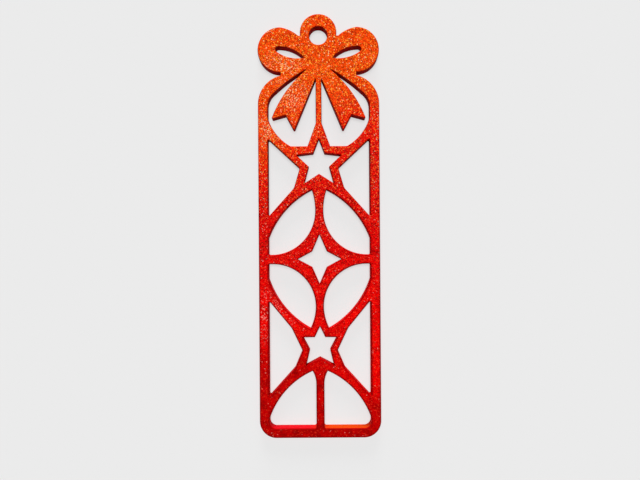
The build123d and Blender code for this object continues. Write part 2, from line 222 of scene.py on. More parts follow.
def shared_corner(x, y):
    """The number of the corner at this place in mm, the same for every member that has it."""
    spot = (round(x / WELD), round(y / WELD))
    for across in (0, -1, 1):
        for up in (0, -1, 1):
            known = corner_at.get((spot[0] + across, spot[1] + up))
            if known is not None:
                return known
    corner_at[spot] = len(corners)
    corners.append((x, y))
    return corner_at[spot]


print("corners closer than about", WELD, "mm are one")

# %% Outlines of the 28 faces
HAIR = 0.001


def pairs(ring):
    """Each point of a closed line with the one after it."""
    return zip(ring, ring[1:] + ring[:1])


def face_outlines(member):
    """The closed outlines of a member's face as corner numbers, with the material on the left."""
    mesh = frame["nodes"][member].data
    sides = Counter()
    for face in mesh.polygons:
        spots = [mesh.vertices[i].co / MM for i in face.vertices]
        if min(spot.z for spot in spots) < thickness - HAIR:
            continue
        sides.update(pairs([shared_corner(spot.x, spot.y) for spot in spots]))
    following = {a: b for (a, b), count in sides.items() if a != b and count > sides.get((b, a), 0)}
    outlines = []
    while following:
        outline = [next(iter(following))]
        while (corner := following.pop(outline[-1])) != outline[0]:
            outline.append(corner)
        outlines.append(outline)
    return outlines


outlines = {member: face_outlines(member) for member in members}
places = np.array(corners)
print("outlines:", sum(map(len, outlines.values())), "closed lines through", len(places), "corners")

# %% [markdown]
# ## Rims and meeting lines
# A rail is one long side, and the braces and arches that meet it end part of the way along, so their
# corners are put into the rail's side. The round eye and the bow's loops and knot were cut into straight
# steps separately, so there a corner of one may lie a hair's breadth off a side of the other, and is put in
# too. After that a side that two members walk in opposite directions is a meeting line inside the print,
# and any other side is part of the rim that shows. A rule by distance would take a narrow slot for a
# meeting line, and this one can't.

# %% Put corners into a neighbour's sides
ROUND_THE_EYE = ("hanging_eye", "bow_knot", "left_bow_loop", "right_bow_loop")
ARC_SLACK = 0.012


def with_corners(outline, others, slack):
    """The same outline, with each of some other corners that lies on one of its sides put in."""
    full = []
    for a, b in pairs(outline):
        along = places[b] - places[a]
        length = np.hypot(*along)
        offset = places[others] - places[a]
        travelled = offset @ along / length
        aside = np.abs(offset[:, 0] * along[1] - offset[:, 1] * along[0]) / length
        lying_on = np.flatnonzero((aside < slack) & (travelled > WELD) & (travelled < length - WELD))
        full += [a, *others[lying_on[np.argsort(travelled[lying_on])]].tolist()]
    return full


plain_count = sum(len(line) for lines in outlines.values() for line in lines)
for group, slack in ((members, HAIR), (ROUND_THE_EYE, ARC_SLACK)):
    own = {member: {corner for line in outlines[member] for corner in line} for member in group}
    for member in group:
        others = np.array(sorted(set().union(*own.values()) - own[member]))
        outlines[member] = [with_corners(line, others, slack) for line in outlines[member]]
full_count = sum(len(line) for lines in outlines.values() for line in lines)
print("sides:", plain_count, "and", full_count - plain_count, "more with the neighbours' corners put in")

# %% Tell the rims from the meeting lines
walked = {side for lines in outlines.values() for line in lines for side in pairs(line)}
rim_sides = [side for side in walked if side[::-1] not in walked]
rim_from = np.array([places[a] for a, b in rim_sides])
rim_to = np.array([places[b] for a, b in rim_sides])
rim_length = np.hypot(*(rim_to - rim_from).T)
print("rim:", round(rim_length.sum()), "mm in", len(rim_sides), "sides")
print("meeting lines:", (len(walked) - len(rim_sides)) // 2, "sides")

# %% [markdown]
# ## Which way is inwards
# A rounded rim needs, at each point of the outline, the direction in which the flat of the face draws back.
# Along a side that is simply square to it. At a corner it is the mitre of the two sides that meet there, as
# in a picture frame. A mitre at a sharp point would run far in, so it is kept short enough not to pass its
# neighbours. Vertex normals could serve on a soft shape, but they would blunt the stars.

# %% Mitres
OUTLINE_STEP = 0.45
RIM_RADIUS = 0.5
NEIGHBOUR_SHARE = 0.8
LONGEST_AT_HOLLOW = 1.15
LEAST_LEAN = 0.05
BACK_TO_BACK = 1e-6
across_side = np.stack([rim_from[:, 1] - rim_to[:, 1], rim_to[:, 0] - rim_from[:, 0]], axis=1)
square_of = dict(zip(rim_sides, across_side / rim_length[:, None]))
square_after = {a: square for (a, b), square in square_of.items()}
square_before = {b: square for (a, b), square in square_of.items()}


def mitre(corner):
    """How the flat draws back at a corner of the rim, for a rim of 1."""
    before, after = square_before[corner], square_after[corner]
    turn = before[0] * after[1] - before[1] * after[0]
    middle = before + after
    if np.hypot(*middle) < BACK_TO_BACK:
        middle = np.array([-before[1], before[0]])
    middle = middle / np.hypot(*middle)
    reach_in = 1 / max(float(middle @ before), LEAST_LEAN)
    longest = math.hypot(1, NEIGHBOUR_SHARE * OUTLINE_STEP / RIM_RADIUS) if turn > 0 else LONGEST_AT_HOLLOW
    return middle * min(reach_in, longest)


sharpest = max(float(np.hypot(*mitre(corner))) for corner in square_after)
print("mitres:", len(square_after), "rim corners, the longest", round(sharpest, 2), "rim radii")

# %% [markdown]
# ## Points along an outline
# The outline gets a point about every half millimetre. Three places need care. In the tip of a star or a
# tail the rounding of one side would run into that of the other, so there the rim is eased: it draws back
# less. A meeting line has to stop clear of the rounding at its ends. And both members of a meeting line
# must have the same points on it, or a crack would show between them. A Bevel modifier could round the
# rim too, but it fails at just these tips, so the points are placed by rule.

# %% How far to the rim
NO_DISTANCE = 1e-9


def off_sides(points, start, end):
    """From the nearest place on some straight sides to each point: a direction and a distance."""
    along = end - start
    share = ((points[:, None] - start) * along).sum(2) / (along ** 2).sum(1)
    offset = points[:, None] - start - along * np.clip(share, 0, 1)[..., None]
    distance = np.hypot(*offset.transpose(2, 0, 1))
    nearest = distance.argmin(1)[:, None]
    shortest = np.take_along_axis(distance, nearest, 1)
    way_off = np.take_along_axis(offset, nearest[..., None], 1)[:, 0]
    return way_off / np.maximum(shortest, NO_DISTANCE), shortest[:, 0]


middle_gap = off_sides(np.zeros((1, 2)), rim_from, rim_to)[1][0]
print("the middle of the plate lies", round(middle_gap, 2), "mm from the nearest rim")

# %% Ease the rim in narrow tips
EASED_SHARES = (0.8, 0.64, 0.5, 0.35)
LOOK_FURTHER = 1.25
CROWDED_BELOW = 0.97


def eased(rim_places, inward):
    """The inward directions, shortened in steps where a whole rim would meet the one across a narrow tip."""
    share = np.ones(len(inward))
    for shorter in EASED_SHARES:
        depth = LOOK_FURTHER * share * RIM_RADIUS
        gap = off_sides(rim_places + depth[:, None] * inward, rim_from, rim_to)[1]
        share[gap < CROWDED_BELOW * depth] = shorter
    return inward * share[:, None]


print("in the narrowest tips the rim is", EASED_SHARES[-1] * RIM_RADIUS, "mm wide")

# %% Points on a meeting line
FINER_NEAR_RIM = 3
RIM_CLEARANCE = 1.2
BESIDE_RIM = 1.6
CLOSEST = 0.1


def clear_of_rim(spots):
    """Places on a meeting line, moved off any rim that is nearer than its rounding needs."""
    direction, distance = off_sides(spots, rim_from, rim_to)
    return spots + direction * np.maximum(RIM_CLEARANCE * RIM_RADIUS - distance, 0)[:, None]


def line_end(corner):
    """Where a meeting line stops at one of its corners."""
    if corner in square_after:
        return places[corner] + RIM_RADIUS * mitre(corner)
    return clear_of_rim(places[[corner]])[0]


def meeting_points(a, b):
    """Places between two corners of a meeting line, closer near the rim; the same for both members."""
    if a > b:
        return meeting_points(b, a)[::-1]
    steps = max(1, round(np.hypot(*(places[b] - places[a])) / OUTLINE_STEP)) * FINER_NEAR_RIM
    spots = places[a] + np.arange(1, steps)[:, None] / steps * (places[b] - places[a])
    beside_rim = off_sides(spots, rim_from, rim_to)[1] < BESIDE_RIM * RIM_RADIUS
    ends = [line_end(a), line_end(b)]
    between = []
    for step, spot in enumerate(clear_of_rim(spots), 1):
        wanted = beside_rim[step - 1] or step % FINER_NEAR_RIM == 0
        if wanted and all(np.hypot(*(spot - other)) > CLOSEST for other in ends + between[-1:]):
            between.append(spot)
    return between


print("meeting lines: a point each", OUTLINE_STEP, "mm, and", FINER_NEAR_RIM, "times as many near a rim")

# %% Sample an outline
def sampled(outline):
    """Points along an outline about a step apart: place, inward direction, and whether on the rim."""
    samples = []
    for a, b in pairs(outline):
        if a in square_after:
            samples.append((places[a], mitre(a), True))
        else:
            samples.append((clear_of_rim(places[[a]])[0], np.zeros(2), False))
        if (a, b) in square_of:
            steps = max(1, round(np.hypot(*(places[b] - places[a])) / OUTLINE_STEP))
            between = [places[a] + step / steps * (places[b] - places[a]) for step in range(1, steps)]
            samples += [(spot, square_of[a, b], True) for spot in between]
        else:
            samples += [(spot, np.zeros(2), False) for spot in meeting_points(a, b)]
    spots, inward, on_rim = map(np.array, zip(*samples))
    return list(zip(spots, eased(spots, inward), on_rim))


print("the knot's outline has", len(sampled(outlines["bow_knot"][0])), "points")

# %% [markdown]
# ## A fine sheet for each face
# The face needs points of its own to carry grain. A lattice of triangles about as fine as one grain of the
# print bed is laid over the whole plate, a little shaken so that no rows show, and each member takes the
# points inside it. A constrained triangulation joins them to the outline, which keeps the outline's own
# sides. A Remesh modifier would be easier, but it would round off the stars' points.

# %% A shaken lattice
GRAIN_PITCH = 0.36
ROW_SHARE = 0.866
SHAKE_SHARE = 0.28
SHAKE_SEED = 7
shake = np.random.default_rng(SHAKE_SEED)
low = np.array(cad_box[0][:2]) / MM
high = np.array(cad_box[1][:2]) / MM
columns, rows = np.meshgrid(np.arange(low[0], high[0], GRAIN_PITCH),
                            np.arange(low[1], high[1], GRAIN_PITCH * ROW_SHARE))
columns[1::2] += GRAIN_PITCH / 2
lattice = np.stack([columns.ravel(), rows.ravel()], axis=1)
lattice += shake.uniform(-SHAKE_SHARE, SHAKE_SHARE, lattice.shape) * GRAIN_PITCH
print("lattice:", len(lattice), "points,", GRAIN_PITCH, "mm apart")

# %% The edge of a face, and what lies within it
def within(points, start, end):
    """Whether each point is inside closed lines: a ray from it crosses them an odd number of times."""
    x, y = points[:, :1], points[:, 1:]
    crosses = (start[:, 1] > y) != (end[:, 1] > y)
    rise = np.where(end[:, 1] == start[:, 1], 1, end[:, 1] - start[:, 1])
    at = start[:, 0] + (y - start[:, 1]) * (end[:, 0] - start[:, 0]) / rise
    return (crosses & (x < at)).sum(1) % 2 == 1


def face_edge(member):
    """A face's edge, drawn back by the rim: its points, their inward directions, their grain, its sides."""
    lines = [sampled(outline) for outline in outlines[member]]
    samples = [sample for line in lines for sample in line]
    edge_points = np.array([place + RIM_RADIUS * inward for place, inward, on_rim in samples])
    inward_of = [inward for place, inward, on_rim in samples]
    grain_of = [0.0 if on_rim else 1.0 for place, inward, on_rim in samples]
    sides = []
    first = 0
    for line in lines:
        sides += pairs(list(range(first, first + len(line))))
        first += len(line)
    return edge_points, inward_of, grain_of, sides


print("the knot's edge has", len(face_edge("bow_knot")[-1]), "sides")

# %% Triangulate a face
EDGE_GAP = 0.55
SAME_POINT = 1e-5


def face_sheet(member):
    """A member's flat face as a mesh, drawn back by the rim, with the marks that the tree below reads."""
    edge_points, inward_of, grain_of, sides = face_edge(member)
    start = np.array([edge_points[a] for a, b in sides])
    end = np.array([edge_points[b] for a, b in sides])
    near = lattice[np.all((lattice > edge_points.min(0)) & (lattice < edge_points.max(0)), axis=1)]
    near = near[within(near, start, end)]
    near = near[off_sides(near, start, end)[1] > EDGE_GAP * GRAIN_PITCH]
    every = [tuple(point) for point in np.vstack([edge_points, near])]
    spots, _, triangles, origin, _, _ = delaunay_2d_cdt(every, sides, [], 0, SAME_POINT)
    flat = np.array([(spot[0], spot[1]) for spot in spots])
    middles = flat[np.array(triangles)].mean(1)
    kept = [triangle for triangle, inside in zip(triangles, within(middles, start, end)) if inside]
    mesh = bpy.data.meshes.new(member + "_face")
    mesh.from_pydata([(x * MM, y * MM, 0) for x, y in flat], [], kept)
    source = [ids[0] if ids else len(every) for ids in origin]
    on_edge = [number if number < len(edge_points) else None for number in source]
    directions = [(0, 0, 0) if number is None else (*inward_of[number], 0) for number in on_edge]
    inward = mesh.attributes.new("inward", "FLOAT_VECTOR", "POINT")
    inward.data.foreach_set("vector", [part for direction in directions for part in direction])
    grain = mesh.attributes.new("grain", "FLOAT", "POINT")
    grain.data.foreach_set("value", [1.0 if number is None else grain_of[number] for number in on_edge])
    return mesh, sum(1 for ids in origin if not ids)


sheets = {}
for member in members:
    sheets[member], strays = face_sheet(member)
    if strays:
        print(member, "has", strays, "points where its outline crosses itself")
print("sheets:", sum(len(mesh.polygons) for mesh in sheets.values()), "triangles in", len(sheets), "faces")

# %% [markdown]
# ## The filament and its fade
# The plate is printed in a two-colour silk filament with glitter in it, which turns from orange to red along
# the print, a little later on the left than on the right. A gradient texture would give a straight fade.
# Here a colour ramp reads the height of a point on the plate, and four soft shifts move that height up or
# down around a place: partly as the colour wanders on the real print, and partly as painted sheen, where
# the silk catches the light. All of it depends on where a point lies on the object, so Object coordinates
# drive it, and one list of colours serves face, walls and back.

# %% Fade from orange to red
FADE = [(-75, "#b60102"), (-70, "#be0102"), (-62, "#c60102"), (-52, "#c80102"), (-44, "#dc0202"),
        (-36, "#f40302"), (-29, "#f80302"), (-22, "#f40302"), (-13, "#ec0302"), (-4, "#e60302"),
        (6, "#e80602"), (15, "#ec0c03"), (23, "#f21404"), (31, "#f62404"), (41, "#fb3a04"),
        (50, "#fd4a04"), (60, "#fd4a04"), (75, "#fc4204")]
# For each shift, part wander in the print and part painted sheen: its place, its radius, and by how much it
# moves the fade there.
WANDER_AND_SHEEN_SHIFTS = ((-20, 27, 24, 14), (21, 34, 26, -10), (20, -54, 26, 20), (1, -63, 8, 22))


def faded(tree, coords):
    """Where a place is in the fade: its coordinates, its level, and its colour."""
    spot = add_node(tree, "ShaderNodeSeparateXYZ", {0: coords}).outputs
    level = spot["Y"]
    for x, y, radius, shift in WANDER_AND_SHEEN_SHIFTS:
        away = add_node(tree, "ShaderNodeVectorMath", {0: coords, 1: (x * MM, y * MM, 0)},
                        operation="DISTANCE")
        moved = add_node(tree, "ShaderNodeMapRange",
                         {"Value": away, "From Min": radius * MM, "From Max": 0.0, "To Max": shift * MM},
                         interpolation_type="SMOOTHSTEP")
        level = add_node(tree, "ShaderNodeMath", {0: level, 1: moved}, operation="ADD")
    (lowest, first_colour), (highest, last_colour) = FADE[0], FADE[-1]
    share = add_node(tree, "ShaderNodeMapRange",
                     {"Value": level, "From Min": lowest * MM, "From Max": highest * MM})
    ramp = add_node(tree, "ShaderNodeValToRGB", {"Fac": share})
    for height, colour in FADE[1:-1]:
        ramp.color_ramp.elements.new((height - lowest) / (highest - lowest)).color = linear(colour)
    ramp.color_ramp.elements[0].color = linear(first_colour)
    ramp.color_ramp.elements[-1].color = linear(last_colour)
    return spot, level, ramp


print("fade:", FADE[0][1], "at the foot to", FADE[-1][1], "at the eye")

# %% [markdown]
# ## Painted light and shade on the walls
# A wall takes painted light or painted shade by the way it faces. Walls towards the bow keep the bright
# fade, as painted light, and the rest turn a deep maroon, as painted shade. The wall above the bottom bar
# shows the filament's two colours, pink on the left of the stem and orange on the right, lit bright as
# painted light. Painting the walls one by one would need a material for each. The direction that a point
# faces says the same, and works for the rounded rim as well.

# %% Painted light and shade by the way a place faces
# How far a place faces the bow, or the sky, is a part of its normal from 0 to 1. The other values are in mm.
# Walls and rims facing away from the bow take painted maroon shade; facing it, the fade is painted light.
SHADE_MAROON = "#940003"
# The foot's pink and orange strands, lit bright as painted light where the wall faces the bow.
LIT_FOOT_STRANDS = ("#ff1424", "#ff5208")
BOW_FROM = 0.15
BOW_FULL = 0.9
FOOT_FULL = 0.5
FOOT_TOP = -66
FOOT_BOTTOM = -70
STEM_HALF = 4
STRAIGHT_ENDS = 18
STRAIGHT_FULL = 16.2
STEEP_FROM = 0.6
STEEP_FULL = 0.2


def foot_light_share(tree, spot, facing, foot):
    """How far a place takes the foot's painted light: on the straight, steep wall above the bottom bar."""
    across = add_node(tree, "ShaderNodeMath", {0: spot["X"]}, operation="ABSOLUTE")
    straight = add_node(tree, "ShaderNodeMapRange",
                        {"Value": across, "From Min": STRAIGHT_ENDS * MM, "From Max": STRAIGHT_FULL * MM})
    steep = add_node(tree, "ShaderNodeMapRange",
                     {"Value": facing["Z"], "From Min": STEEP_FROM, "From Max": STEEP_FULL, "To Max": foot})
    return add_node(tree, "ShaderNodeMath", {0: steep, 1: straight}, operation="MULTIPLY")


def painted_light_and_shade(tree, coords, spot, base, shade_colour):
    """A wall's or a rim's colour by the way it faces: painted light towards the bow, else painted shade."""
    facing = add_node(tree, "ShaderNodeSeparateXYZ", {0: coords.outputs["Normal"]}).outputs
    foot = add_node(tree, "ShaderNodeMapRange",
                    {"Value": spot["Y"], "From Min": FOOT_TOP * MM, "From Max": FOOT_BOTTOM * MM})
    full_at = add_node(tree, "ShaderNodeMapRange", {"Value": foot, "To Min": BOW_FULL, "To Max": FOOT_FULL})
    to_bow = add_node(tree, "ShaderNodeMapRange",
                      {"Value": facing["Y"], "From Min": BOW_FROM, "From Max": full_at})
    side = add_node(tree, "ShaderNodeMapRange",
                    {"Value": spot["X"], "From Min": -STEM_HALF * MM, "From Max": STEM_HALF * MM})
    left, right = map(linear, LIT_FOOT_STRANDS)
    lit_foot_strand = add_node(tree, "ShaderNodeMix", {0: side, 6: left, 7: right}, data_type="RGBA")
    lit_colour = add_node(tree, "ShaderNodeMix",
                      {0: foot_light_share(tree, spot, facing, foot), 6: base, 7: lit_foot_strand}, data_type="RGBA")
    painted_facing = add_node(tree, "ShaderNodeMix", {0: to_bow, 6: shade_colour, 7: lit_colour}, data_type="RGBA")
    return facing, painted_facing


# Walls facing away from the bow get painted shade; walls facing it keep the fade as painted light.
print("walls:", SHADE_MAROON, "or the fade where they face the bow")

# %% [markdown]
# ## The face: glitter silk PLA, pressed on a grained bed
# Silk PLA is a satin plastic, and mica flakes float in it. The first layer was pressed on a grained bed, so
# the face sparkles, and that sparkle is painted: pale specks and flakes are painted glints among dark
# specks, which lie close together in the orange half, with fewer bright ones in the red half. A noise
# texture would give soft blots. A Voronoi texture gives each small cell a tone of its own, as each grain has
# on the print, and thresholds on that tone pick the dark specks, the pale glints and the flakes. How strong
# each of these is changes along the fade, so one table holds them all.

# %% What changes along the fade
# In each row: two levels on the plate, and the value at the first and at the second.
# The last three rows paint shade along the edge of the face, and light and shade on the rim.
ALONG = {"cloud depth": (-60, 0, 0.6, 0.2), "contrast": (-60, 10, 0.45, 1.0), "orange": (-8, 55, 0.0, 1.0),
         "dark depth": (10, 45, 0.85, 0.62), "pale glint from": (-20, 40, 0.88, 0.85),
         "flake from": (-40, 20, 0.987, 0.965), "flash depth": (-10, 30, 0.55, 1.0),
         "edge shade depth": (-20, 30, 0.22, 0.0), "rim shading from": (-20, 30, 0.998, 0.92),
         "rim shading full": (-20, 30, 0.95, 0.55)}
face_silk, tree, shader = new_finish("glitter_silk_pla_bed_face")
coords = add_node(tree, "ShaderNodeTexCoord")
place = coords.outputs["Object"]
spot, level, base = faded(tree, place)
by_level = {}
for quality, (first_level, second_level, at_first, at_second) in ALONG.items():
    by_level[quality] = add_node(tree, "ShaderNodeMapRange",
                                 {"Value": level, "From Min": first_level * MM,
                                  "From Max": second_level * MM, "To Min": at_first, "To Max": at_second})
print("along the fade change:", ", ".join(by_level))

# %% Clouds in the plastic
CLOUD = 2.2
CLOUD_FROM = 0.45
CLOUD_FULL = 0.75
# The same dark red also paints shade along the edge of the face.
CLOUD_AND_EDGE_SHADE = "#5a0001"
clouds = add_node(tree, "ShaderNodeTexNoise", {"Vector": place, "Scale": 1 / (CLOUD * MM), "Detail": 2.0})
shade = add_node(tree, "ShaderNodeMapRange",
                 {"Value": clouds, "From Min": CLOUD_FROM, "From Max": CLOUD_FULL,
                  "To Max": by_level["cloud depth"]})
clouded = add_node(tree, "ShaderNodeMix", {0: shade, 6: base, 7: linear(CLOUD_AND_EDGE_SHADE)}, data_type="RGBA")
print("clouds:", CLOUD, "mm across")

# %% Specks of the grained bed, and pale painted glints
# Bed grain is 0.1 to 0.3 mm across. It is drawn 0.28 mm, because finer specks don't show from here.
SPECK = 0.28
DARK_FROM = 0.38
DARK_FULL = 0.14
PALE_GLINT_FULL = 0.98
DARK_SPECK = "#5c0200"
# The pale specks are painted glints, where the grain catches the light.
PALE_GLINTS = ("#ff4426", "#ffb438")
WARMING = 1.3
specks = add_node(tree, "ShaderNodeTexVoronoi", {"Vector": place, "Scale": 1 / (SPECK * MM)})
tones = add_node(tree, "ShaderNodeSeparateColor", {0: specks.outputs["Color"]}).outputs
dark = add_node(tree, "ShaderNodeMapRange",
                {"Value": tones[0], "From Min": DARK_FROM, "From Max": DARK_FULL,
                 "To Max": by_level["dark depth"]})
dark_part = add_node(tree, "ShaderNodeMath", {0: dark, 1: by_level["contrast"]}, operation="MULTIPLY")
darker = add_node(tree, "ShaderNodeMix", {0: dark_part, 6: clouded, 7: linear(DARK_SPECK)}, data_type="RGBA")
warmth = add_node(tree, "ShaderNodeMath", {0: by_level["orange"], 1: WARMING}, operation="POWER")
in_red, in_orange = map(linear, PALE_GLINTS)
pale_glint = add_node(tree, "ShaderNodeMix", {0: warmth, 6: in_red, 7: in_orange}, data_type="RGBA")
pale = add_node(tree, "ShaderNodeMapRange",
                {"Value": tones[0], "From Min": by_level["pale glint from"], "From Max": PALE_GLINT_FULL})
pale_glint_part = add_node(tree, "ShaderNodeMath", {0: pale, 1: by_level["contrast"]}, operation="MULTIPLY")
paler = add_node(tree, "ShaderNodeMix", {0: pale_glint_part, 6: darker, 7: pale_glint}, data_type="RGBA")
print("specks:", SPECK, "mm across")

# %% Mica flakes, and patches of painted glints
# Real flakes are about 0.1 mm across. They are drawn 0.3 mm, because finer ones don't show from here, and
# their pale colours are painted glints. For each patch of painted glints: its place and its radius.
FLAKE = 0.3
FLASH_FULL = 0.992
GLINT_PATCHES = ((-12.4, 56.4, 8), (-9, 46, 7), (-19.3, 34, 7), (-19, -32, 11))
PATCH_CORE = 0.2
PATCH_FROM = 0.82
PATCH_FULL = 0.96
MICA_GLINTS = ("#ff9a8c", "#ffd49a")
flakes = add_node(tree, "ShaderNodeTexVoronoi", {"Vector": place, "Scale": 1 / (FLAKE * MM)})
flash = add_node(tree, "ShaderNodeSeparateColor", {0: flakes.outputs["Color"]}).outputs
flake = add_node(tree, "ShaderNodeMapRange",
                 {"Value": flash[1], "From Min": by_level["flake from"], "From Max": FLASH_FULL})
glitter = add_node(tree, "ShaderNodeMath", {0: flake, 1: by_level["flash depth"]}, operation="MULTIPLY")
patch_glints = add_node(tree, "ShaderNodeMapRange",
                 {"Value": flash[0], "From Min": PATCH_FROM, "From Max": PATCH_FULL})
for x, y, radius in GLINT_PATCHES:
    away = add_node(tree, "ShaderNodeVectorMath", {0: place, 1: (x * MM, y * MM, thickness * MM)},
                    operation="DISTANCE")
    glint_patch = add_node(tree, "ShaderNodeMapRange",
                     {"Value": away, "From Min": radius * MM, "From Max": PATCH_CORE * radius * MM})
    glitter = add_node(tree, "ShaderNodeMath", {0: glint_patch, 1: patch_glints, 2: glitter}, operation="MULTIPLY_ADD")
# The flakes' pale colours are painted glints.
in_red, in_orange = map(linear, MICA_GLINTS)
mica_glint = add_node(tree, "ShaderNodeMix", {0: warmth, 6: in_red, 7: in_orange}, data_type="RGBA")
glint = add_node(tree, "ShaderNodeMix", {0: glitter, 6: paler, 7: mica_glint}, data_type="RGBA")
# The patches are painted glints, where the silk catches the light.
print("flakes:", FLAKE, "mm across, and", len(GLINT_PATCHES), "drifts")

# %% Painted shade along the edge, and painted light and shade on the rim
# A printer goes round the outline first, so an outermost strand runs along each edge of the face, where
# the mark "grain" fades out; it is painted a shade darker, as painted shade. Past it the face turns down
# into the rim, which takes painted light where it faces the bow and painted shade elsewhere.
inside_mark = add_node(tree, "ShaderNodeAttribute", attribute_name="grain").outputs["Fac"]
edge_shade = add_node(tree, "ShaderNodeMapRange",
                 {"Value": inside_mark, "From Min": 1.0, "From Max": 0.0, "To Max": by_level["edge shade depth"]})
edge_shaded_face = add_node(tree, "ShaderNodeMix", {0: edge_shade, 6: glint, 7: linear(CLOUD_AND_EDGE_SHADE)}, data_type="RGBA")
facing, painted_facing = painted_light_and_shade(tree, coords, spot, base, linear(SHADE_MAROON))
away = add_node(tree, "ShaderNodeMapRange",
                {"Value": facing["Z"], "From Min": by_level["rim shading from"], "From Max": by_level["rim shading full"]})
rim_mark = add_node(tree, "ShaderNodeAttribute", attribute_name="rim").outputs["Fac"]
rim_shading_part = add_node(tree, "ShaderNodeMath", {0: away, 1: rim_mark}, operation="MULTIPLY")
rim_shaded_face = add_node(tree, "ShaderNodeMix", {0: rim_shading_part, 6: edge_shaded_face, 7: painted_facing}, data_type="RGBA")
# The darker outermost strand is painted shade.
print("the outermost strand is", round(100 * ALONG["edge shade depth"][2]), "% darker in the red half")

# %% The satin of silk PLA
# Each grain is a little smoother or rougher than the next, so the face gives the eye a broken, satin sheen.
PLA_IOR = 1.46
SATIN = (0.3, 0.55)
FACE_GLOSS = 0.01
sheen = add_node(tree, "ShaderNodeMapRange", {"Value": tones[2], "To Min": SATIN[0], "To Max": SATIN[1]})
shader.inputs["IOR"].default_value = PLA_IOR
shader.inputs["Specular IOR Level"].default_value = FACE_GLOSS
tree.links.new(rim_shaded_face.outputs[2], shader.inputs["Base Color"])
tree.links.new(sheen.outputs[0], shader.inputs["Roughness"])
print("face:", len(tree.nodes), "nodes, roughness", SATIN[0], "to", SATIN[1])

# %% [markdown]
# ## Walls and back
# Fine lines run along the walls, one for each layer that the printer laid. The back was printed last and
# shows the strands of the top layer, laid at 45 degrees. Both are even stripes, which is what a Wave
# texture draws, at a scale that comes from their real spacing. An image of stripes would do too, but it
# needs an unwrapped mesh. In the wall the layers are modelled as well, as shallow grooves that show from
# close by.

# %% Layered wall of the same filament
# A stack of strands, each rounded: a satin wall with a fine dark line for each 0.2 mm layer.
LAYER = 0.2
WAVE_RADIANS = 20
RED_LEVEL = -20
ORANGE_LEVEL = 20
# Painted shade for walls that face away from the bow, in the red half.
SHADE_RED = "#e80606"
GROOVE_SHADE = "#2a0103"
GROOVE_DEPTH = 0.28
WALL_SATIN = 0.42


def wave_scale(spacing):
    """The scale at which a Wave texture repeats at this spacing: at scale 1 it runs 20 radians in a unit."""
    return 2 * math.pi / (WAVE_RADIANS * spacing * MM)


wall_silk, tree, shader = new_finish("silk_pla_layered_wall")
coords = add_node(tree, "ShaderNodeTexCoord")
place = coords.outputs["Object"]
spot, level, base = faded(tree, place)
# Walls facing away from the bow take painted shade: red in the red half, maroon in the orange half.
reds = add_node(tree, "ShaderNodeMapRange",
                {"Value": level, "From Min": RED_LEVEL * MM, "From Max": ORANGE_LEVEL * MM})
strand = add_node(tree, "ShaderNodeMix", {0: reds, 6: linear(SHADE_RED), 7: linear(SHADE_MAROON)},
                  data_type="RGBA")
facing, painted_facing = painted_light_and_shade(tree, coords, spot, base, strand)
lines = add_node(tree, "ShaderNodeTexWave", {"Vector": place, "Scale": wave_scale(LAYER)},
                 bands_direction="Z").outputs["Fac"]
groove = add_node(tree, "ShaderNodeMapRange", {"Value": lines, "To Min": GROOVE_DEPTH, "To Max": 0.0})
lined = add_node(tree, "ShaderNodeMix", {0: groove, 6: painted_facing, 7: linear(GROOVE_SHADE)}, data_type="RGBA")
shader.inputs["IOR"].default_value = PLA_IOR
shader.inputs["Roughness"].default_value = WALL_SATIN
shader.inputs["Specular IOR Level"].default_value = FACE_GLOSS
tree.links.new(lined.outputs[2], shader.inputs["Base Color"])
print("wall: a line each", LAYER, "mm")

# %% Top layer at the back
# Strands side by side: satin ribs that catch the light along their length.
STRAND = 0.42
STRAND_TURN = 45
STRAND_WAVER = 0.4
GAP_SHADE = "#7a0805"
GAP_FROM = 0.5
GAP_DEPTH = 0.45
RIB_HEIGHT = 0.05
RIB_STRENGTH = 0.5
BACK_SATIN = 0.33
BACK_GLOSS = 0.2
back_silk, tree, shader = new_finish("silk_pla_top_layer_back")
place = add_node(tree, "ShaderNodeTexCoord").outputs["Object"]
spot, level, base = faded(tree, place)
turn = add_node(tree, "ShaderNodeMapping", {"Vector": place, "Rotation": (0, 0, math.radians(STRAND_TURN))})
ribs = add_node(tree, "ShaderNodeTexWave",
                {"Vector": turn, "Scale": wave_scale(STRAND), "Distortion": STRAND_WAVER},
                bands_direction="X").outputs["Fac"]
gap = add_node(tree, "ShaderNodeMapRange",
               {"Value": ribs, "From Max": GAP_FROM, "To Min": GAP_DEPTH, "To Max": 0.0})
ribbed = add_node(tree, "ShaderNodeMix", {0: gap, 6: base, 7: linear(GAP_SHADE)}, data_type="RGBA")
relief = add_node(tree, "ShaderNodeBump",
                  {"Strength": RIB_STRENGTH, "Distance": RIB_HEIGHT * MM, "Height": ribs})
shader.inputs["IOR"].default_value = PLA_IOR
shader.inputs["Roughness"].default_value = BACK_SATIN
shader.inputs["Specular IOR Level"].default_value = BACK_GLOSS
tree.links.new(ribbed.outputs[2], shader.inputs["Base Color"])
tree.links.new(relief.outputs[0], shader.inputs["Normal"])
print("back: strands of", STRAND, "mm")

# %% [markdown]
# ## Printing a member
# A printer draws the same outline layer upon layer, and that is a rule a Geometry Nodes tree can follow. The
# tree takes a face sheet and grows its open edge downwards: first round the rim, then layer by layer, each
# with a shallow groove where it meets the next, and closes the far side. A repeat zone does the same step
# over and over, so the number of layers is just an input. Mesh code could extrude one shape as well, but the
# tree serves all 28 and keeps its sizes as named inputs.

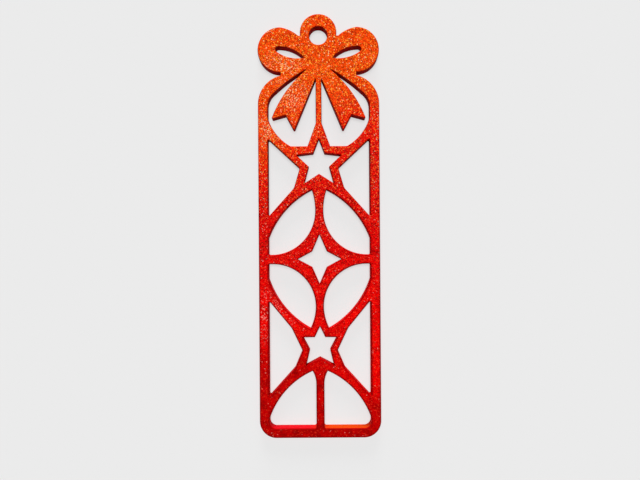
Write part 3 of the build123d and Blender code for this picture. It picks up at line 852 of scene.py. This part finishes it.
# %% The tree's inputs
# The dents of the grain are drawn coarser than the bed's own, because finer ones would need more triangles.
# The layers are as many as fit whole below the rim, and share the height that is left over.
RIM_STEPS = 4
GROOVE = 0.02
GRAIN_DEPTH = 0.09
GRAIN_SIZE = 0.55
SEED = 3.7
layer_count = int((thickness - RIM_RADIUS) / LAYER)
INPUTS = {"Thickness": ("Float", thickness * MM), "Rim Radius": ("Float", RIM_RADIUS * MM),
          "Rim Steps": ("Int", RIM_STEPS), "Layers": ("Int", layer_count), "Groove": ("Float", GROOVE * MM),
          "Grain Depth": ("Float", GRAIN_DEPTH * MM), "Grain Size": ("Float", GRAIN_SIZE * MM),
          "Seed": ("Float", SEED)}
printer = bpy.data.node_groups.new("printed_member", "GeometryNodeTree")
printer.interface.new_socket("Geometry", in_out="INPUT", socket_type="NodeSocketGeometry")
identifier = {}
for name, (kind, value) in INPUTS.items():
    socket = printer.interface.new_socket(name, in_out="INPUT", socket_type="NodeSocket" + kind)
    identifier[name] = socket.identifier
printer.interface.new_socket("Geometry", in_out="OUTPUT", socket_type="NodeSocketGeometry")
given = add_node(printer, "NodeGroupInput").outputs
print("tree inputs:", ", ".join(f"{name} {value:.4g}" for name, (kind, value) in INPUTS.items()))

# %% Lift the sheet and find its open edge
# An edge with one face only is open. The mark "front" stays on the open edge as it grows.
lift = add_node(printer, "ShaderNodeCombineXYZ", {"Z": given["Thickness"]})
lifted = add_node(printer, "GeometryNodeSetPosition", {"Geometry": given["Geometry"], "Offset": lift})
neighbours = add_node(printer, "GeometryNodeInputMeshEdgeNeighbors")
is_open = add_node(printer, "FunctionNodeCompare", {2: neighbours, 3: 1}, data_type="INT", operation="EQUAL")
sheet = add_node(printer, "GeometryNodeStoreNamedAttribute",
                 {"Geometry": lifted, "Name": "front", "Value": is_open}, data_type="BOOLEAN", domain="EDGE")
front = add_node(printer, "GeometryNodeInputNamedAttribute", {"Name": "front"}, data_type="BOOLEAN")
inward = add_node(printer, "GeometryNodeInputNamedAttribute", {"Name": "inward"}, data_type="FLOAT_VECTOR")
print("the sheet is lifted by", round(thickness, 2), "mm")

# %% Grow the open edge
def open_zone(start, times):
    """The two ends of a repeat zone that works on a mesh so many times."""
    begin = add_node(printer, "GeometryNodeRepeatInput")
    end = add_node(printer, "GeometryNodeRepeatOutput")
    begin.pair_with_output(end)
    printer.links.new(start, begin.inputs["Geometry"])
    printer.links.new(times, begin.inputs["Iterations"])
    return begin, end


def pull_edge(begin, end, out, down, mark):
    """Inside a zone, pull the open edge outwards and down by two lengths, and mark the new faces."""
    pulled = add_node(printer, "GeometryNodeExtrudeMesh",
                      {"Mesh": begin.outputs["Geometry"], "Selection": front, "Offset Scale": 0.0},
                      mode="EDGES").outputs
    sides = add_node(printer, "GeometryNodeStoreNamedAttribute",
                     {"Geometry": pulled["Mesh"], "Selection": pulled["Side"], "Name": mark, "Value": True},
                     data_type="BOOLEAN", domain="FACE")
    edged = add_node(printer, "GeometryNodeStoreNamedAttribute",
                     {"Geometry": sides, "Name": "front", "Value": pulled["Top"]},
                     data_type="BOOLEAN", domain="EDGE")
    outward = add_node(printer, "ShaderNodeVectorMath", {0: inward, "Scale": out}, operation="SCALE")
    lowered = add_node(printer, "ShaderNodeCombineXYZ", {"Z": down})
    shift = add_node(printer, "ShaderNodeVectorMath", {0: lowered, 1: outward}, operation="SUBTRACT")
    moved = add_node(printer, "GeometryNodeSetPosition",
                     {"Geometry": edged, "Selection": front, "Offset": shift})
    printer.links.new(moved.outputs[0], end.inputs["Geometry"])
    return end.outputs["Geometry"]


print("the edge is pulled", RIM_STEPS, "times round the rim and twice for each of", layer_count, "layers")

# %% Round the rim
# A quarter circle in equal chords: each chord is as long as the others and turns by the same angle.
begin, end = open_zone(sheet.outputs[0], given["Rim Steps"])
turn = add_node(printer, "ShaderNodeMath", {0: math.pi / 2, 1: given["Rim Steps"]}, operation="DIVIDE")
half_turn = add_node(printer, "ShaderNodeMath", {0: turn, 1: 2.0}, operation="DIVIDE")
half_sine = add_node(printer, "ShaderNodeMath", {0: half_turn}, operation="SINE")
half_chord = add_node(printer, "ShaderNodeMath", {0: half_sine, 1: given["Rim Radius"]},
                      operation="MULTIPLY")
chord = add_node(printer, "ShaderNodeMath", {0: half_chord, 1: 2.0}, operation="MULTIPLY")
slope = add_node(printer, "ShaderNodeMath", {0: begin.outputs["Iteration"], 1: turn, 2: half_turn},
                 operation="MULTIPLY_ADD")
flat_share = add_node(printer, "ShaderNodeMath", {0: slope}, operation="COSINE")
steep_share = add_node(printer, "ShaderNodeMath", {0: slope}, operation="SINE")
rim_out = add_node(printer, "ShaderNodeMath", {0: flat_share, 1: chord}, operation="MULTIPLY")
rim_fall = add_node(printer, "ShaderNodeMath", {0: steep_share, 1: chord}, operation="MULTIPLY")
rim_down = add_node(printer, "ShaderNodeMath", {0: rim_fall, 1: -1.0}, operation="MULTIPLY")
rimmed = pull_edge(begin, end, rim_out, rim_down, "rim")
print("rim: a quarter circle of", RIM_RADIUS, "mm")

# %% Build the wall
# Two pulls make a layer: in by the depth of a groove, and out again.
half_layers = add_node(printer, "ShaderNodeMath", {0: given["Layers"], 1: 2.0}, operation="MULTIPLY")
begin, end = open_zone(rimmed, half_layers.outputs[0])
below_rim = add_node(printer, "ShaderNodeMath", {0: given["Rim Radius"], 1: given["Thickness"]},
                     operation="SUBTRACT")
layer_down = add_node(printer, "ShaderNodeMath", {0: below_rim, 1: half_layers}, operation="DIVIDE")
swing = add_node(printer, "ShaderNodeMath", {0: begin.outputs["Iteration"], 1: math.pi},
                 operation="MULTIPLY")
in_or_out = add_node(printer, "ShaderNodeMath", {0: swing}, operation="COSINE")
groove_in = add_node(printer, "ShaderNodeMath", {0: given["Groove"], 1: -1.0}, operation="MULTIPLY")
layer_out = add_node(printer, "ShaderNodeMath", {0: in_or_out, 1: groove_in}, operation="MULTIPLY")
walled = pull_edge(begin, end, layer_out, layer_down, "wall")
print("wall: layers of", round((thickness - RIM_RADIUS) / layer_count, 3), "mm")

# %% Close the back
MERGE = 0.002
ring = add_node(printer, "GeometryNodeMeshToCurve", {"Mesh": walled, "Selection": front})
filled = add_node(printer, "GeometryNodeFillCurve", {"Curve": ring})
turned_over = add_node(printer, "GeometryNodeFlipFaces", {"Mesh": filled})
back = add_node(printer, "GeometryNodeStoreNamedAttribute",
                {"Geometry": turned_over, "Name": "back", "Value": True}, data_type="BOOLEAN", domain="FACE")
joined = add_node(printer, "GeometryNodeJoinGeometry", {0: walled})
printer.links.new(back.outputs[0], joined.inputs[0])
whole = add_node(printer, "GeometryNodeMergeByDistance", {"Geometry": joined, "Distance": MERGE * MM})
print("back: filled, and merged with the wall within", MERGE, "mm")

# %% [markdown]
# ## Grain and materials
# The bed left shallow dents in the face, and none on the rounded rim. A Displace modifier could sink them,
# but each member would need its own, with a vertex group to spare the rim. In the tree the points of the
# face sink by a smooth random depth that is read from their place, so two members agree along their meeting
# line. Last, each face gets its material by the mark that it was given when it was made. The rim is smooth
# like a wall, but has the face's material, which knows it by its mark.

# %% Sink the grain
point = add_node(printer, "GeometryNodeInputPosition")
grain_scale = add_node(printer, "ShaderNodeMath", {0: 1.0, 1: given["Grain Size"]}, operation="DIVIDE")
noise = add_node(printer, "ShaderNodeTexNoise",
                 {"Vector": point, "W": given["Seed"], "Scale": grain_scale, "Detail": 1.0},
                 noise_dimensions="4D")
weight = add_node(printer, "GeometryNodeInputNamedAttribute", {"Name": "grain"}, data_type="FLOAT")
rough = add_node(printer, "ShaderNodeMath", {0: noise, 1: weight}, operation="MULTIPLY")
sunk = add_node(printer, "ShaderNodeMath", {0: rough, 1: given["Grain Depth"]}, operation="MULTIPLY")
downwards = add_node(printer, "ShaderNodeMath", {0: sunk, 1: -1.0}, operation="MULTIPLY")
sink = add_node(printer, "ShaderNodeCombineXYZ", {"Z": downwards})
height = add_node(printer, "ShaderNodeSeparateXYZ", {0: point}).outputs["Z"]
just_below = add_node(printer, "ShaderNodeMath", {0: given["Thickness"], 1: HAIR * MM}, operation="SUBTRACT")
on_face = add_node(printer, "ShaderNodeMath", {0: height, 1: just_below}, operation="GREATER_THAN")
grained = add_node(printer, "GeometryNodeSetPosition",
                   {"Geometry": whole, "Selection": on_face, "Offset": sink})
print("grain: up to", GRAIN_DEPTH, "mm deep")

# %% Give the materials
rim = add_node(printer, "GeometryNodeInputNamedAttribute", {"Name": "rim"}, data_type="BOOLEAN")
wall = add_node(printer, "GeometryNodeInputNamedAttribute", {"Name": "wall"}, data_type="BOOLEAN")
behind = add_node(printer, "GeometryNodeInputNamedAttribute", {"Name": "back"}, data_type="BOOLEAN")
curved = add_node(printer, "FunctionNodeBooleanMath", {0: rim, 1: wall}, operation="OR")
shaded = add_node(printer, "GeometryNodeSetShadeSmooth", {"Geometry": grained, "Shade Smooth": curved})
real = add_node(printer, "GeometryNodeRealizeInstances", {"Geometry": shaded})
faced = add_node(printer, "GeometryNodeSetMaterial", {"Geometry": real, "Material": face_silk})
sided = add_node(printer, "GeometryNodeSetMaterial",
                 {"Geometry": faced, "Selection": wall, "Material": wall_silk})
backed = add_node(printer, "GeometryNodeSetMaterial",
                  {"Geometry": sided, "Selection": behind, "Material": back_silk})
add_node(printer, "NodeGroupOutput", {"Geometry": backed})
print("tree:", len(printer.nodes), "nodes")

# %% [markdown]
# ## Twenty-eight members
# Each sheet goes through the tree, and what comes out is kept as a plain mesh, because an exported model has
# no modifiers. Of the marks only "rim" and "grain" stay, which the face's material reads. Then a member's
# new mesh stands for its CAD node, which is hidden, and the pieces are counted by the node's filament slot.
# One mesh for the whole plate would be simpler, but the members would lose their names. A closed mesh has
# two faces on every edge, so the edges with fewer or more are counted.

# %% Print every member
SPENT_MARKS = ("inward", "front", "wall", "back")
SHARP = 38


def printed_mesh(member):
    """A member's sheet, sent through the tree and kept as a plain mesh."""
    blank = bpy.data.objects.new(member + "_blank", sheets[member])
    bpy.context.scene.collection.objects.link(blank)
    tool = blank.modifiers.new("print", "NODES")
    tool.node_group = printer
    for name, (kind, value) in INPUTS.items():
        tool[identifier[name]] = value
    grown = blank.evaluated_get(bpy.context.evaluated_depsgraph_get())
    mesh = bpy.data.meshes.new_from_object(grown)
    mesh.name = "printed_" + member
    blank.modifiers.remove(tool)
    bpy.data.objects.remove(blank)
    for name in SPENT_MARKS:
        if name in mesh.attributes:
            mesh.attributes.remove(mesh.attributes[name])
    mesh.set_sharp_from_angle(angle=math.radians(SHARP))
    return mesh


meshes = {member: printed_mesh(member) for member in members}
triangle_count = 0
open_edges = 0
for mesh in meshes.values():
    uses = Counter(key for face in mesh.polygons for key in face.edge_keys)
    open_edges += sum(1 for count in uses.values() if count != 2)
    triangle_count += sum(len(face.vertices) - 2 for face in mesh.polygons)
print("printed:", len(meshes), "members,", triangle_count, "triangles,", open_edges, "open edges")

# %% Put the members on the frame
slot_of = {row["node"]: row["material_slot"] for row in frame["record"]["subparts"]}
for member, mesh in meshes.items():
    piece = bpy.data.objects.new("printed_" + member, mesh)
    bpy.context.scene.collection.objects.link(piece)
    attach(piece, "root")
    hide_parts(member)
print("pieces by slot:", dict(Counter(slot_of[member] for member in meshes)))

# %% [markdown]
# ## Size and finish
# The box of the dressed object is set beside the CAD box, to show how far the size has changed.

# %% Compare the boxes
dressed_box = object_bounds()
changes = [round((dressed_box[k][i] - cad_box[k][i]) / MM, 4) for k in (0, 1) for i in range(3)]
print("size change in mm:", changes)
